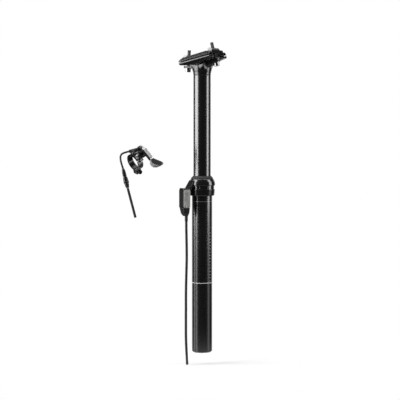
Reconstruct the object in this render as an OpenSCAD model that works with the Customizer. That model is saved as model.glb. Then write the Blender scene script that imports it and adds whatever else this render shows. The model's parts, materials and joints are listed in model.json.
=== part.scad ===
// Dropper seatpost with its handlebar remote.
// Origin: on the post's axis, at the collar's lower face. +X bike front, +Y bike left, +Z up the post.

/* [Outer tube] */
// Outer diameter of the tube that goes into the seat tube
tube_d = 31.6; // [30.9:0.1:34.9]
// Wall of the outer tube
tube_wall = 1.3; // [1.3:0.05:1.6]
// Length from the collar to the seam of the foot cap
tube_l = 213; // [205:1:260]
// Height of the foot cap below that seam
foot_h = 31.5; // [30:0.5:45]
// Length of the thread that the collar screws onto
tube_thread_l = 14; // [12:0.5:16]

/* [Sliding post] */
// Room round the sliding post inside the outer tube
post_gap = 1; // [1:0.05:1.2]
// Wall of the sliding post
post_wall = 1.5; // [1.3:0.1:1.6]
// Height of the sliding post's top edge above the origin, fully out
post_top = 186; // [180:1:200]
// Length of the sliding post below the origin, fully out
post_below = 53; // [45:1:53]
// Full drop
travel = 150; // [100:5:150]

/* [Collar] */
// Height of the sleeve's visible skirt
skirt_h = 10; // [8:0.5:11]
// How far the skirt stands out from the outer tube
skirt_flare = 4.2; // [3.8:0.1:4.6]
// Height of the lock ring
ring_h = 5.2; // [4:0.1:6]
// How far the seal head stands out from the outer tube
cap_flare = 4.6; // [4.2:0.1:5]
// Height of the seal head's top face
cap_top = 26.5; // [26:0.1:28]

/* [Actuator] */
// Direction of the actuator, from bike front towards bike left
act_turn = 60; // [45:1:75]
// Gap between the seal head and the box's inner face
act_gap = 4.6; // [4.2:0.1:5.6]
// Depth of the box, away from the post
act_depth = 11.6; // [11:0.1:13]
// Width of the box, round the post
act_w = 15.4; // [14:0.1:17]
// Height of the box under its arm
act_h = 28.7; // [26:0.1:32]
// Height of the tapered lower end
boot_h = 12.5; // [10:0.5:16]

/* [Saddle clamp] */
// Angle of the rails, nose down
rail_tilt = 12; // [8:0.5:14]
// Height of the rails over the post's axis
rail_z = 211.5; // [209:0.5:213]
// Distance between the two rails
rail_gap = 44; // [43:0.5:45]
// Rail diameter
rail_d = 7; // [6.8:0.1:7.2]
// Length of the rail grooves
groove_l = 56; // [50:1:58]
// Diameter of the saddle bolts
bolt_d = 5; // [5:0.5:6]

/* [Remote] */
// Handlebar diameter at the clamp
bar_d = 22.2; // [22.2:0.1:22.4]
// Width of the bar clamp
band_w = 9; // [8:0.5:11]
// Thickness of the bar clamp
band_t = 2.9; // [2.4:0.1:3.4]

/* [Fits] */
// Radial clearance of running and sliding fits
run = 0.05; // [0.02:0.01:0.08]
// Clearance between pieces that are fixed together
seat = 0.05; // [0.02:0.01:0.08]

/* [Hidden] */
$fn = 64;

// Outer tube and foot
tube_r = tube_d / 2;
bore_r = tube_r - tube_wall;
thread_r = tube_r - 0.4;
seam_z = -tube_l;
foot_z = seam_z - foot_h;
plug_l = 8;
plug_r = bore_r - seat;
well_r = bore_r - 3.5;
floor_t = 9;
floor_z = foot_z + floor_t;
nut_pocket_r = well_r - 3;
foot_nut_r = 5.6;
foot_nut_sink = 0.4;
nut_pocket_h = 4.2;
foot_chamfer = 1.8;

// Sliding post and its guides
post_r = bore_r - post_gap;
post_bore_r = post_r - post_wall;
post_foot_z = -post_below;
bush_seat_r = post_r - 0.4;
bush_z = post_foot_z + 3;
bush_h = 12;
key_z = bush_z + bush_h + 4;
key_h = 12;
key_w = 2;
key_in = post_r - 0.9;
key_out = bore_r + 0.5;
key_turns = [0, 120, 240];
key_ease = 0.12;

// Release strip in its groove down the inside of the outer tube
strip_w = 4;
strip_t = 0.4;
strip_x = bore_r + 0.1;
strip_slot_w = strip_w + 0.6;
strip_slot_x = strip_x + strip_t + 0.15;
strip_travel = 3.1;
tab_z = 5.2;
tab_t = 2;
tab_out = tube_r + skirt_flare + 3.6;
window_z = tab_z - strip_travel - 0.4;
strip_foot_z = seam_z - 11;
valve_h = 6;
valve_r = well_r - 1.5;

// Cartridge
cyl_r = post_bore_r - 2.5;
cyl_wall = 1;
rod_share = 0.421;
rod_r = rod_share * cyl_r;
stud_r = rod_r - 1;
gland_z = post_foot_z + 0.5;
cyl_z = gland_z + 6.5;
gland_plug = 5;
piston_gap = 5;
piston_z = cyl_z + gland_plug + piston_gap;
piston_h = 10;
piston_stud_r = 2.5;
seal_h = 2;
float_h = 8;
float_rise = travel * pow(rod_r / cyl_r, 2);
float_over = 1.5;
head_plug = 7;
cyl_cap_flange = 4;
cyl_cap_plug = 4;
cyl_top = post_top - head_plug - cyl_cap_flange - 0.9;
cyl_cap_z = cyl_top - cyl_cap_plug;
float_z = cyl_cap_z - float_over - float_rise - float_h;

// Collar
skirt_r = tube_r + skirt_flare;
cap_r = tube_r + cap_flare;
neck_r = tube_r + 1.6;
neck_top = 22;
skirt_edge = 0.8;
ring_slit = 0.3;
ring_z = skirt_h + ring_slit;
ring_r = skirt_r - 1.2;
ring_notch = 0.5;
cap_z = ring_z + ring_h + ring_slit;
cap_dome = [[-0.4, 0], [0, 0.5], [0, 3], [-0.8, 6.5], [-2.2, 9.5]];
cap_rim = 3.4;
neck_ease = 0.4;
wiper_r = neck_r - 1;
wiper_top = cap_top + 4.2;

// Actuator box, in a frame turned to its own direction: X away from the post, Y round it
act_in = cap_r + act_gap;
act_out = act_in + act_depth;
arm_t = 1.9;
arm_z = 10.3;
box_z = arm_z - act_h;
wall = 1.4;
cover_t = 1.3;
cable_x = act_in + 3.2;
boot_z = box_z - boot_h;
ferrule_l = 8;
ferrule_r = 2.5;
cable_r = 2;
pivot_x = act_in + 7.2;
pivot_z = 4;
pin_r = 1.5;
rocker_w = 4;
rocker_hub_r = 2.5;
tip_x = tab_out - 1.2;
knee_x = act_in + 0.8;
tip_r = 1;
tip_z = tab_z + tab_t + 0.3 + tip_r;
link_w = 5.2;

// Cable housing that hangs from the box: how far it strays from the ferrule's line at each step down
cable_sway = [0, 0, -0.2, -0.4, -0.6, -0.7, -0.7, -0.5, -0.2, 0.1, 0.4, 0.6, 0.7, 0.7, 0.7, 0.8, 0.8,
    0.8, 0.8,
    0.6, 0.2, -0.3, -0.9, -1.4];
cable_step = 9.72;
cable_top = boot_z - ferrule_l;
cable_route = [for (i = [0:len(cable_sway) - 1])
    let (out = cable_x + cable_sway[i])
    [out * cos(act_turn), out * sin(act_turn), cable_top - i * cable_step]];

// Saddle clamp, in a frame at the rails' height turned nose down: X along the rails
cradle_r = 9;
rail_r = rail_d / 2;
rail_y = rail_gap / 2;
jaw_w = 11;
jaw_gap = 0.6;
jaw_bevel = 0.9;
jaw_tip = 4.4;
jaw_deep = 8.2;
jaw_back = -29;
jaw_front = jaw_back + groove_l;
bolt_r = bolt_d / 2;
nut_r = 4.5;
nut_l = 24;
front_nut_x = 23;
front_nut_z = 6.4;
rear_nut_x = -22.5;
rear_nut_z = 8;
bar_w = 13;
bar_under = 1.4;
bar_hole_r = bolt_r + 1.9;
front_lean = -4.4;
rear_lean = 15;
ear_r = 7;
front_ear_t = 2.6;
rear_ear_t = 5.5;
front_ear_drop = 11.7;
rear_ear_drop = 12.2;
washer_t = 1.4;
washer_r = 5.2;
head_r = 4.3;
head_h = 5;
bolt_over = 13;
ear_hole_r = bolt_r + 0.7;
nut_hole_r = bolt_r + 0.6;
neck_z = post_top + 13;
neck_profile = [[0, 0], [0.3, 3.5], [0.8, 6.5], [1.3, 6.9], [1.7, 11], [1.5, 11.4], [1.9, 17], [1.4, 19]];
ear_clear = 20;
flare_z = post_top + 6;
flare_top = post_top + 15.4;
flare_x = 11;
flare_y = 15.2;
socket_r = 2.3;
socket_h = 3;

// Remote: place of the bar's centre and direction of the bar
remote_at = [90, 52, 53];
bar_dip = 65.2;
bar_turn = 246.9;
bar_r = bar_d / 2;
band_r = bar_r + band_t;
split_turn = -75;
hinge_turn = 165;
pivot_at = [-20, 11];
boss_r = 6;
boss_top = 0.6;
lever_z = boss_top + 0.3;
lever_t = 7;
pivot_r = 3;
hinge_at = [-15.9, 3];
knuckle_r = 2.6;
hinge_pin_r = 1.2;
ear_in = 12;
ear_out = 20;
ear_t = 4;
ear_step = 0.3;
split_half = 0.4;
clamp_bolt_r = 2;
clamp_head_r = 3.4;
lever_top_at = [-21, 21.5];
lever_bend_at = [-30, 18];
lever_end_at = [-39, 4];
lever_end_r = 3;
pad_turn = 221;

// Cable run of the remote, in an upright plane turned from bike front towards bike left:
// distance from the post's axis and height
run_turn = 30;
noodle_r = 1.5;
noodle_path = [[108, 69.8], [112, 68.9], [116, 68], [119.6, 67], [123, 65.8], [125.6, 64], [126.9, 61],
    [127, 57.6],
    [126.4, 53.6], [125.3, 49.6], [124.1, 45.6], [122.9, 41.4]];
spout_root = [102, 70.5];
spout_dip = atan((noodle_path[0][1] - noodle_path[1][1]) / (noodle_path[1][0] - noodle_path[0][0]));
adjuster_top = [122.9, 41.4];
adjuster_dip = 13.6;
sleeve_l = 12;
knob_l = 11;
tail_l = 6.5;
core_r = 1.8;
stub_path = [[115.7, 11.6], [113.6, 3.5], [111.4, -5], [109.2, -13.5], [107, -22], [104.8, -30.5],
    [103.8, -34.4]];
stub_r = 2;
function on_run(p) = [p[0] * cos(run_turn), p[0] * sin(run_turn), p[1]];

// Swept tubes: a ring of points square to the route at each of its points
function unit(v) = v / norm(v);
function heading(path, i) =
    unit(path[min(i + 1, len(path) - 1)] - path[max(i - 1, 0)]);
function ring_points(at, along, side, r, sides) =
    let (u = unit(cross(along, side)), v = cross(u, along))
    [for (k = [0:sides - 1]) at + r * (cos(360 * k / sides) * u + sin(360 * k / sides) * v)];
module swept_tube(path, side, r, sides) {
    rings = len(path);
    points = [for (i = [0:rings - 1]) each ring_points(path[i], heading(path, i), side, r, sides)];
    walls = [for (i = [0:rings - 2], k = [0:sides - 1])
        let (a = i * sides + k, b = i * sides + (k + 1) % sides)
        each [[a, b, a + sides], [b, b + sides, a + sides]]];
    caps = [
        [for (k = [sides - 1:-1:0]) k],
        [for (k = [0:sides - 1]) (rings - 1) * sides + k]
    ];
    polyhedron(points, concat(walls, caps));
}

// Hollow round: outer and inner radius between two heights
module pipe(r_out, r_in, low, high) {
    rotate_extrude()
        translate([r_in, low])
            square([r_out - r_in, high - low]);
}

// Round bar between two heights
module rod(r, low, high) {
    translate([0, 0, low])
        cylinder(r = r, h = high - low);
}

// Block between two corners
module block(low, high) {
    translate(low)
        cube(high - low);
}

// Round bar along Y, centred
module cross_bar(r, l) {
    rotate([90, 0, 0])
        cylinder(r = r, h = l, center = true);
}

// Rectangle with round corners, centred
module soft_rect(w, h, r) {
    square([w - 2 * r, h], center = true);
    square([w, h - 2 * r], center = true);
    for (x = [-1, 1], y = [-1, 1])
        translate([x * (w / 2 - r), y * (h / 2 - r)])
            circle(r);
}

// Places
module at_actuator() {
    rotate([0, 0, act_turn])
        children();
}
module at_rails() {
    translate([0, 0, rail_z])
        rotate([0, rail_tilt, 0])
            children();
}
module at_remote() {
    translate(remote_at)
        rotate([0, bar_dip, bar_turn])
            rotate([0, 0, 90])
                children();
}
module at_adjuster() {
    translate(on_run(adjuster_top))
        rotate([0, 0, run_turn])
            rotate([0, 180 + adjuster_dip, 0])
                children();
}

// Saddle bolts: place of each nut in the post's frame, and a frame along each bolt with its nut at zero
function rail_point(x, z) = [
    x * cos(rail_tilt) + z * sin(rail_tilt), 0, rail_z - x * sin(rail_tilt) + z * cos(rail_tilt)];
front_nut_at = rail_point(front_nut_x, front_nut_z);
rear_nut_at = rail_point(rear_nut_x, rear_nut_z);
module at_front_bolt() {
    translate(front_nut_at)
        rotate([0, front_lean, 0])
            children();
}
module at_rear_bolt() {
    translate(rear_nut_at)
        rotate([0, rear_lean, 0])
            children();
}

// Outer tube: bored, with three key grooves, the strip's groove and its slot through the thread
module lower_tube() color("#151516") {
    difference() {
        union() {
            pipe(tube_r, bore_r, seam_z, 0);
            pipe(thread_r, bore_r, 0, tube_thread_l);
        }
        for (turn = key_turns)
            rotate([0, 0, turn])
                block([bore_r - 1, -key_w / 2 - key_ease, seam_z + plug_l],
                    [key_out + key_ease, key_w / 2 + key_ease, -1]);
        at_actuator()
            block([bore_r - 1, -strip_slot_w / 2, seam_z - 1],
                [strip_slot_x, strip_slot_w / 2, tube_thread_l + 1]);
        at_actuator()
            block([bore_r - 1, -strip_slot_w / 2, window_z],
                [tube_r + 1, strip_slot_w / 2, tube_thread_l + 1]);
    }
}

// Foot cap: a cup with a plug into the tube, a nut pocket below and a slot for the release strip
module foot_cap() color("#131314") {
    difference() {
        rotate_extrude()
            polygon([
                [stud_r + seat, foot_z + nut_pocket_h], [nut_pocket_r, foot_z + nut_pocket_h],
                [nut_pocket_r, foot_z],
                [tube_r - foot_chamfer, foot_z], [tube_r, foot_z + foot_chamfer], [tube_r, seam_z],
                [plug_r, seam_z],
                [plug_r, seam_z + plug_l], [well_r, seam_z + plug_l], [well_r, floor_z],
                [stud_r + seat, floor_z]]);
        at_actuator()
            block([well_r - 2, -strip_slot_w / 2, floor_z + 1],
                [strip_slot_x, strip_slot_w / 2, seam_z + plug_l + 1]);
    }
}

// Hexagon nut under the foot cap's floor
module foot_nut() color("#9a9a9c") {
    difference() {
        translate([0, 0, foot_z + foot_nut_sink])
            cylinder(r = foot_nut_r, h = nut_pocket_h - foot_nut_sink, $fn = 6);
        rod(stud_r + seat, foot_z, foot_z + nut_pocket_h + 1);
    }
}

// Collar sleeve: tapered skirt, threaded bore, neck for the seal head and a window for the strip's tab
module collar_sleeve() color("#171718") {
    difference() {
        rotate_extrude()
            polygon([
                [thread_r + seat, 0], [skirt_r - 2 * skirt_edge, 0], [skirt_r - skirt_edge, skirt_edge],
                [skirt_r, skirt_h - skirt_edge],
                [skirt_r, skirt_h], [neck_r, skirt_h], [neck_r, neck_top], [bore_r, neck_top],
                [bore_r, tube_thread_l], [thread_r + seat, tube_thread_l]]);
        at_actuator()
            block([bore_r, -strip_slot_w / 2, window_z], [skirt_r + 1, strip_slot_w / 2, skirt_h - 0.6]);
    }
}

// Lock ring with a groove round its middle
module collar_ring() color("#1a1a1b") {
    difference() {
        pipe(ring_r, neck_r + seat, ring_z, ring_z + ring_h);
        for (turn = [0:45:315])
            rotate([0, 0, turn + act_turn])
                block([ring_r - ring_notch, -1, skirt_h], [ring_r + 1, 1, cap_z]);
    }
}

// Seal head: domed ring, sloping arm, plate over the actuator and two cheeks that cover the rocker
module collar_cap() color("#171718") {
    rotate_extrude()
        polygon(concat(
            [[neck_r + seat, cap_z]],
            [for (spot = cap_dome) [cap_r + spot[0], cap_z + spot[1]]],
            [[cap_r - cap_rim, cap_top], [wiper_r, cap_top], [wiper_r, neck_top + neck_ease],
            [neck_r + seat, neck_top + neck_ease]]));
    at_actuator()
        difference() {
            union() {
                hull() {
                    block([neck_r + 0.5, -act_w / 2, cap_z + 0.2],
                        [neck_r + 1.2, act_w / 2, cap_top - 2.5]);
                    block([act_in - 0.4, -act_w / 2, arm_z], [act_in + 1, act_w / 2, arm_z + arm_t]);
                }
                block([act_in, -act_w / 2, arm_z], [act_out - 2, act_w / 2, arm_z + arm_t]);
                translate([act_out - 4, 0, arm_z])
                    linear_extrude(arm_t)
                        soft_rect(8, act_w, 1.8);
                for (side = [-1, 1])
                    translate([0, side * (link_w / 2 + 1), 0])
                        block([skirt_r + 0.7, -0.8, 1], [act_in - seat, 0.8, arm_z + 4]);
            }
            rod(neck_r + seat, 0, neck_top + neck_ease);
            rod(skirt_r + 0.5, 0, cap_z);
            block([skirt_r, -link_w / 2, 0], [act_in - 0.5, link_w / 2, arm_z + 1.6]);
        }
}

// Rubber wiper with a tapering lip
module wiper_seal() color("#202021") {
    rotate_extrude()
        polygon([
            [post_r + run, neck_top + 0.5], [wiper_r - seat, neck_top + 0.5], [wiper_r - seat, cap_top],
            [wiper_r + 1, cap_top], [wiper_r + 0.6, cap_top + 1.2], [post_r + 0.5, wiper_top],
            [post_r + run, wiper_top]]);
}

// Plain bearing in the collar's bore
module upper_bushing() color("#8a7a4a") {
    pipe(bore_r - seat, post_r + run, tube_thread_l + 0.1, neck_top);
}

// Actuator box: open at the cover's side and at the top, with bosses for the pin and the screws
screw_spots = [[act_in + 2.6, box_z + 2.6], [act_out - 2.6, box_z + 2.6]];
module box_outline(inset) {
    translate([act_in + act_depth / 2, box_z + act_h / 2])
        soft_rect(act_depth - 2 * inset, act_h - 2 * inset, 1.6);
}
module actuator_housing() color("#1b1b1c") {
    at_actuator()
        difference() {
            union() {
                translate([0, act_w / 2 - cover_t, 0])
                    rotate([90, 0, 0])
                        linear_extrude(act_w - cover_t)
                            box_outline(0);
            }
            translate([0, act_w / 2, 0])
                rotate([90, 0, 0])
                    linear_extrude(act_w - 1.4 - 1.6)
                        difference() {
                            box_outline(wall);
                            for (spot = screw_spots)
                                translate(spot)
                                    circle(2);
                        }
            block([act_in - 1, -link_w / 2, 0.5], [act_in + wall + 1, link_w / 2, arm_z + 1]);
            translate([pivot_x, 0, pivot_z])
                cross_bar(pin_r + seat, act_w - 1.2);
            translate([cable_x, 0, 0])
                rod(1, box_z - 1, box_z + wall + 1);
            for (spot = screw_spots)
                translate([spot[0], act_w / 2, spot[1]])
                    cross_bar(0.85, 12);
        }
}

// Light side cover with shallow upright ribs
module actuator_cover() color("#8d8f86") {
    at_actuator()
        difference() {
            union() {
                translate([0, act_w / 2, 0])
                    rotate([90, 0, 0])
                        linear_extrude(cover_t - seat)
                            box_outline(0.3);
                for (x = [act_in + 3.4:1.6:act_out - 3])
                    block([x - 0.3, act_w / 2 - 0.2, box_z + 6],
                        [x + 0.3, act_w / 2 + 0.25, arm_z - 2.5]);
            }
            for (spot = screw_spots)
                translate([spot[0], act_w / 2, spot[1]])
                    cross_bar(1.05, 6);
        }
}

// Two small screws through the cover
module actuator_screws() color("#6b6c6e") {
    at_actuator()
        for (spot = screw_spots)
            translate([spot[0], act_w / 2, spot[1]])
                rotate([-90, 0, 0])
                    difference() {
                        union() {
                            rod(0.8, -5, 0);
                            rod(1.6, 0, 0.9);
                        }
                        translate([0, 0, 0.4])
                            cylinder(r = 0.8, h = 1, $fn = 6);
                    }
}

// Tapered lower end, bored for the inner cable
module actuator_boot() color("#1d1d1e") {
    at_actuator()
        difference() {
            hull() {
                translate([act_in + act_depth / 2, 0, box_z - 1])
                    linear_extrude(1)
                        soft_rect(act_depth - 0.6, act_w - 0.6, 1.6, $fn = 32);
                translate([act_in + act_depth / 2 - 0.4, 0, box_z - boot_h * 0.66])
                    linear_extrude(1)
                        soft_rect(act_depth - 1.6, act_w - 2.6, 2.5, $fn = 32);
                translate([cable_x + 1.4, 0, boot_z])
                    cylinder(r = ferrule_r + 1.6, h = 0.6, $fn = 32);
            }
            translate([cable_x, 0, 0])
                rod(1, boot_z - 1, box_z + 1);
        }
}

// Pin that the rocker turns on
module rocker_pin() color("#a5a6a8") {
    at_actuator()
        translate([pivot_x, -0.65, pivot_z])
            cross_bar(pin_r, act_w - 1.4 - cover_t - 0.2);
}

// Return spring of the rocker, closed coil round the pin
module rocker_spring() color("#b0b1b3") {
    at_actuator()
        translate([pivot_x, -(rocker_w / 2 + 1.5), pivot_z])
            rotate([90, 0, 0])
                pipe(2.6, pin_r + 0.3, -1.2, 1.2);
}

// Release rocker: hub on the pin, cable hole, rounded tip over the strip's tab
module release_rocker() color("#77787a") {
    at_actuator()
        difference() {
            union() {
                translate([pivot_x, 0, pivot_z])
                    cross_bar(rocker_hub_r, rocker_w);
                hull() {
                    translate([pivot_x - 1, 0, pivot_z])
                        cross_bar(1.6, rocker_w, $fn = 32);
                    translate([cable_x, 0, pivot_z + 1.6])
                        cross_bar(1.6, rocker_w, $fn = 32);
                }
                hull() {
                    translate([cable_x, 0, pivot_z + 1.6])
                        cross_bar(1.6, rocker_w, $fn = 32);
                    translate([knee_x, 0, tip_z])
                        cross_bar(tip_r, rocker_w, $fn = 32);
                }
                hull()
                    for (x = [knee_x, tip_x])
                        translate([x, 0, tip_z])
                            cross_bar(tip_r, rocker_w, $fn = 32);
            }
            translate([pivot_x, 0, pivot_z])
                cross_bar(pin_r + run, act_w);
            translate([cable_x, 0, 0])
                rod(0.8, 0, arm_z);
        }
}

// Release strip: long flat with a tab out to the rocker and a tab in to the valve
module release_strip() color("#b5b6b8") {
    at_actuator() {
        block([strip_x, -strip_w / 2, strip_foot_z], [strip_x + strip_t, strip_w / 2, tab_z + tab_t]);
        block([strip_x, -strip_w / 2, tab_z], [tab_out, strip_w / 2, tab_z + tab_t]);
        block([rod_r + 1, -strip_w / 2, strip_foot_z],
            [strip_x + strip_t, strip_w / 2, strip_foot_z + 1.5]);
    }
}

// Valve ring that slides on the rod
module valve_ring() color("#8c7a45") {
    pipe(valve_r, rod_r + run, strip_foot_z - valve_h, strip_foot_z);
}

// Ferrule on the end of the cable housing
module cable_ferrule() color("#2a2a2b") {
    at_actuator()
        translate([cable_x, 0, 0])
            difference() {
                rod(ferrule_r, cable_top, boot_z);
                rod(0.9, cable_top - 1, boot_z + 1);
            }
}

// Cable housing that hangs from the actuator
module actuator_cable() color("#141415") {
    swept_tube(cable_route, [cos(act_turn), sin(act_turn), 0], cable_r, 10);
}

// Piston rod: shoulder on the foot cap's floor, studs at both ends
module piston_rod() color("#c4c5c7") {
    rotate_extrude()
        polygon([
            [0, foot_z + 0.8], [stud_r, foot_z + 0.8], [stud_r, floor_z], [rod_r, floor_z],
            [rod_r, piston_z],
            [piston_stud_r, piston_z], [piston_stud_r, piston_z + piston_h + 1],
            [0, piston_z + piston_h + 1]]);
}

// Fixed piston with a seal groove
module piston() color("#b08d3e") {
    difference() {
        pipe(cyl_r - run, piston_stud_r + seat, piston_z, piston_z + piston_h);
        pipe(cyl_r + 1, cyl_r - 1.6, piston_z + (piston_h - seal_h) / 2,
            piston_z + (piston_h + seal_h) / 2);
    }
}
module piston_seal() color("#232324") {
    pipe(cyl_r - run / 2, cyl_r - 1.6 + seat, piston_z + (piston_h - seal_h) / 2 + 0.1,
        piston_z + (piston_h + seal_h) / 2 - 0.1);
}

// Sliding post: plain tube with a seat for the lower bearing and pockets for the keys
module stanchion() color("#101011") {
    difference() {
        pipe(post_r, post_bore_r, post_foot_z, post_top);
        pipe(post_r + 1, bush_seat_r, bush_z, bush_z + bush_h);
        for (turn = key_turns)
            rotate([0, 0, turn])
                block([key_in, -key_w / 2 - seat, key_z], [post_r + 1, key_w / 2 + seat, key_z + key_h]);
    }
}
module lower_bushing() color("#8a7a4a") {
    pipe(bore_r - run, bush_seat_r + seat, bush_z + seat, bush_z + bush_h - seat);
}
module guide_keys() color("#b08d3e") {
    for (turn = key_turns)
        rotate([0, 0, turn])
            block([key_in + seat, -key_w / 2, key_z + seat], [key_out, key_w / 2, key_z + key_h - seat]);
}

// Cartridge that rides inside the sliding post
module cartridge_tube() color("#a9aaac") {
    pipe(cyl_r + cyl_wall, cyl_r, cyl_z, cyl_top);
}
module rod_gland() color("#87888a") {
    difference() {
        union() {
            rod(post_bore_r - seat, gland_z, cyl_z);
            rod(cyl_r - seat, cyl_z, cyl_z + gland_plug);
        }
        rod(rod_r + run, gland_z - 1, cyl_z + gland_plug + 1);
    }
}
module cartridge_cap() color("#87888a") {
    rod(cyl_r - seat, cyl_cap_z, cyl_top);
    rod(post_bore_r - seat, cyl_top, cyl_top + cyl_cap_flange);
}
module floating_piston() color("#b08d3e") {
    difference() {
        rod(cyl_r - run, float_z, float_z + float_h);
        rod(cyl_r - 3, float_z + 3, float_z + float_h + 1);
    }
}

// Forged head: plug into the post, flared neck with a band, two ears, round seat for the cradle
module seat_head() color("#141415") {
    difference() {
        union() {
            rod(post_bore_r - seat, post_top - head_plug, post_top);
            rotate_extrude()
                polygon(concat(
                    [[0, post_top]],
                    [for (spot = neck_profile) [post_r + spot[0], post_top + spot[1]]],
                    [[0, post_top + neck_profile[len(neck_profile) - 1][1]]]));
            hull() {
                translate([0, 0, flare_z])
                    cylinder(r = post_r + 0.4, h = 1, $fn = 32);
                block([-flare_x, -flare_y, flare_top], [flare_x, flare_y, flare_top + 3.4]);
            }
            hull() {
                translate([4, 0, neck_z - 2])
                    cylinder(r = post_r - 3, h = 5, $fn = 32);
                at_front_bolt()
                    translate([0, 0, -front_ear_drop - front_ear_t - 0.5])
                        cylinder(r = ear_r, h = front_ear_t + 1, $fn = 32);
            }
            hull() {
                translate([-3, 0, neck_z - 1])
                    cylinder(r = post_r - 2.5, h = 9, $fn = 32);
                at_rear_bolt()
                    translate([0, 0, -rear_ear_drop - rear_ear_t - 0.5])
                        cylinder(r = ear_r, h = rear_ear_t + 1, $fn = 32);
            }
        }
        at_rails()
            cross_bar(cradle_r + run, 60);
        at_front_bolt()
            ear_cut(front_ear_drop, front_ear_t, ear_r + 4);
        at_rear_bolt()
            ear_cut(rear_ear_drop, rear_ear_t, ear_r + 2);
    }
}

// What is cut from an ear: flat top, bolt hole and the washer's flat below
module ear_cut(drop, thick, top_r) {
    rotate_extrude()
        polygon([
            [0, -drop - ear_clear], [washer_r + 0.6, -drop - ear_clear], [washer_r + 0.6, -drop - thick],
            [ear_hole_r, -drop - thick],
            [ear_hole_r, -drop], [top_r, -drop], [top_r, 4], [0, 4]]);
}

// Saddle bolt in its own frame: threaded shank, cylinder head with a hexagon socket
module saddle_bolt(drop) {
    difference() {
        union() {
            rod(bolt_r, -drop, bolt_over);
            rod(head_r, -drop - head_h, -drop);
        }
        translate([0, 0, -drop - head_h - 1])
            cylinder(r = socket_r, h = socket_h + 1, $fn = 6);
    }
}
front_seat = front_ear_drop + front_ear_t;
rear_seat = rear_ear_drop + rear_ear_t;
bolt_ease = 0.3;
module front_bolt() color("#4c4d4f") {
    at_front_bolt()
        saddle_bolt(front_seat + washer_t + bolt_ease);
}
module rear_bolt() color("#4c4d4f") {
    at_rear_bolt()
        saddle_bolt(rear_seat + washer_t + bolt_ease);
}
module front_washer() color("#a2a3a5") {
    at_front_bolt()
        pipe(washer_r, ear_hole_r, -front_seat - washer_t, -front_seat);
}
module rear_washer() color("#a2a3a5") {
    at_rear_bolt()
        pipe(washer_r, ear_hole_r, -rear_seat - washer_t, -rear_seat);
}

// Jaw side outline pulled out to the jaw's width, on both sides
module jaws(outline) {
    for (side = [-1, 1])
        translate([0, side * rail_y, 0])
            rotate([90, 0, 0])
                hull() {
                    linear_extrude(jaw_w - 2 * jaw_bevel, center = true)
                        polygon(outline);
                    linear_extrude(jaw_w, center = true)
                        offset(delta = -jaw_bevel)
                            polygon(outline);
                }
}
module rail_grooves() {
    for (side = [-1, 1])
        translate([jaw_back - 1, side * rail_y, 0])
            rotate([0, 90, 0])
                cylinder(r = rail_r, h = groove_l + 2);
}

// Lower cradle: round belly in the head's seat and two tapering jaws
module lower_cradle() color("#161617") {
    at_rails()
        difference() {
            union() {
                intersection() {
                    cross_bar(cradle_r, rail_gap - jaw_w + 2);
                    block([-cradle_r, -rail_y, -cradle_r - 1], [cradle_r, rail_y, -jaw_gap]);
                }
                jaws([
                    [jaw_back, -jaw_gap], [jaw_back, -jaw_tip], [jaw_back + 11, -6.4], [-6, -jaw_deep],
                    [6, -jaw_deep],
                    [jaw_front - 9, -6.4], [jaw_front, -jaw_tip], [jaw_front, -jaw_gap]]);
            }
            rail_grooves();
        }
}

// Upper clamp: two jaws, two cross bars with half-round seats for the barrel nuts
module upper_clamp() color("#2b2b2c") {
    difference() {
        at_rails()
            difference() {
                union() {
                    jaws([
                        [jaw_back, jaw_gap], [jaw_front, jaw_gap], [jaw_front + 0.6, 2.2],
                        [jaw_front - 6, 6.2],
                        [jaw_back + 8, 7.2], [jaw_back, 4.6]]);
                    for (spot = [[front_nut_x, front_nut_z], [rear_nut_x, rear_nut_z]])
                        translate([spot[0], 0, spot[1]])
                            block([-bar_w / 2, -rail_y + jaw_w / 2 - 1, -nut_r - bar_under],
                                [bar_w / 2, rail_y - jaw_w / 2 + 1, -0.5]);
                }
                rail_grooves();
                for (spot = [[front_nut_x, front_nut_z], [rear_nut_x, rear_nut_z]])
                    translate([spot[0], 0, spot[1]])
                        cross_bar(nut_r + run, nut_l + 1);
            }
        at_front_bolt()
            rod(bar_hole_r, -12, 12);
        at_rear_bolt()
            rod(bar_hole_r, -12, 12);
    }
}
module front_nut() color("#3a3a3b") {
    at_front_bolt()
        difference() {
            cross_bar(nut_r, nut_l);
            rod(nut_hole_r, -10, 10);
        }
}
module rear_nut() color("#3a3a3b") {
    at_rear_bolt()
        difference() {
            cross_bar(nut_r, nut_l);
            rod(nut_hole_r, -10, 10);
        }
}

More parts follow.
